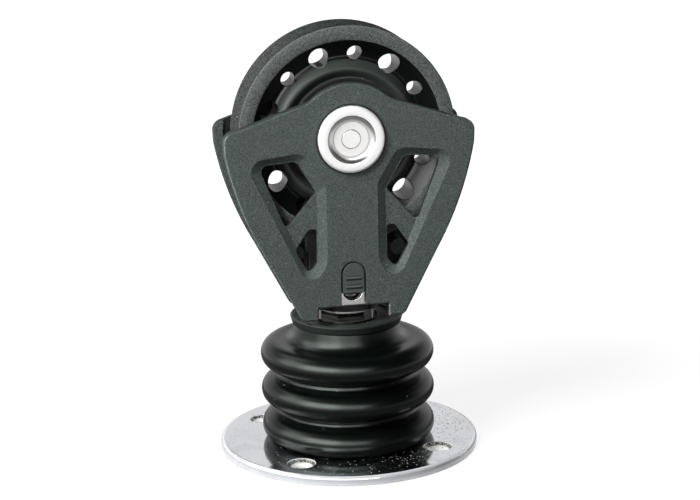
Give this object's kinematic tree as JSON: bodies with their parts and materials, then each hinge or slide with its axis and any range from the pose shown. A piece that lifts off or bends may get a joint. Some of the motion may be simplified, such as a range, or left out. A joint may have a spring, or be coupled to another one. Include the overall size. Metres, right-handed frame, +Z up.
{
  "type": "stand-up block",
  "caption": "Swivelling sheave block held upright on a round deck plate by a ribbed rubber boot, with a slider that locks the swivel.",
  "frame": {"origin": "centre of the deck plate's underside", "axes": "+Z up along the swivel, cheeks facing -Y and +Y, sheave axis along Y"},
  "size_m": [0.0868, 0.0868, 0.1432],
  "materials": {
    "plate_steel": "mirror-polished stainless steel with fine pits and wipe marks",
    "polished_steel": "turned and polished stainless steel",
    "plain_steel": "machined stainless steel",
    "dark_steel": "blackened steel",
    "cheek_plastic": "matt glass-filled nylon, fine speckle",
    "slider_plastic": "matt moulded nylon",
    "sheave_plastic": "satin nylon, sandy groove",
    "boot_rubber": "satin black moulded rubber",
    "collar_plastic": "satin black plastic",
    "bearing_plastic": "smooth black acetal"
  },
  "bodies": {
    "deck": {"base_plate": "plate_steel", "deck_eye": "plain_steel", "boot": "boot_rubber"},
    "shackle": {"shackle_bow": "plain_steel", "shackle_pin": "plain_steel", "pin_clip": "plain_steel"},
    "post": {"swivel_post": "plain_steel", "boot_collar": "collar_plastic", "collar_washer": "polished_steel", "collar_nut": "polished_steel", "swivel_washer": "polished_steel", "castle_nut": "dark_steel"},
    "block": {"swivel_disc": "bearing_plastic", "swivel_bush": "bearing_plastic", "load_strap": "polished_steel", "front_cheek": "cheek_plastic", "rear_cheek": "cheek_plastic", "inner_race": "plain_steel", "race_cover_front": "bearing_plastic", "race_cover_rear": "bearing_plastic", "axle_tube": "plain_steel", "axle_head_front": "polished_steel", "axle_head_rear": "polished_steel", "axle_rivet": "polished_steel"},
    "sheave": {"sheave": "sheave_plastic"},
    "bearing": {"bearing_rollers": "bearing_plastic", "roller_cage": "bearing_plastic"},
    "lock": {"lock_slider": "slider_plastic"}
  },
  "joints": [
    {"name": "lean_fore_aft", "type": "hinge", "parent": "deck", "child": "shackle", "pos_m": [0, 0, 0.016], "axis": [1, 0, 0], "range_deg": [-20, 20], "stiffness_Nm_per_rad": 1.5, "deforming": ["boot"]},
    {"name": "lean_side", "type": "hinge", "parent": "shackle", "child": "post", "pos_m": [0, 0, 0.033], "axis": [0, 1, 0], "range_deg": [-20, 20], "stiffness_Nm_per_rad": 1.5, "deforming": ["boot"]},
    {"name": "swivel", "type": "hinge", "parent": "post", "child": "block", "pos_m": [0, 0, 0.05], "axis": [0, 0, 1], "continuous": true},
    {"name": "sheave_spin", "type": "hinge", "parent": "block", "child": "sheave", "pos_m": [0, 0, 0.1072], "axis": [0, 1, 0], "continuous": true},
    {"name": "roller_orbit", "type": "hinge", "parent": "block", "child": "bearing", "pos_m": [0, 0, 0.1072], "axis": [0, 1, 0], "continuous": true},
    {"name": "lock_slide", "type": "slide", "parent": "block", "child": "lock", "axis": [0, 0, -1], "range_m": [0, 0.0034]}
  ],
  "couplings": [
    {"joint": "roller_orbit", "follows": "sheave_spin", "ratio": 0.5984}
  ]
}
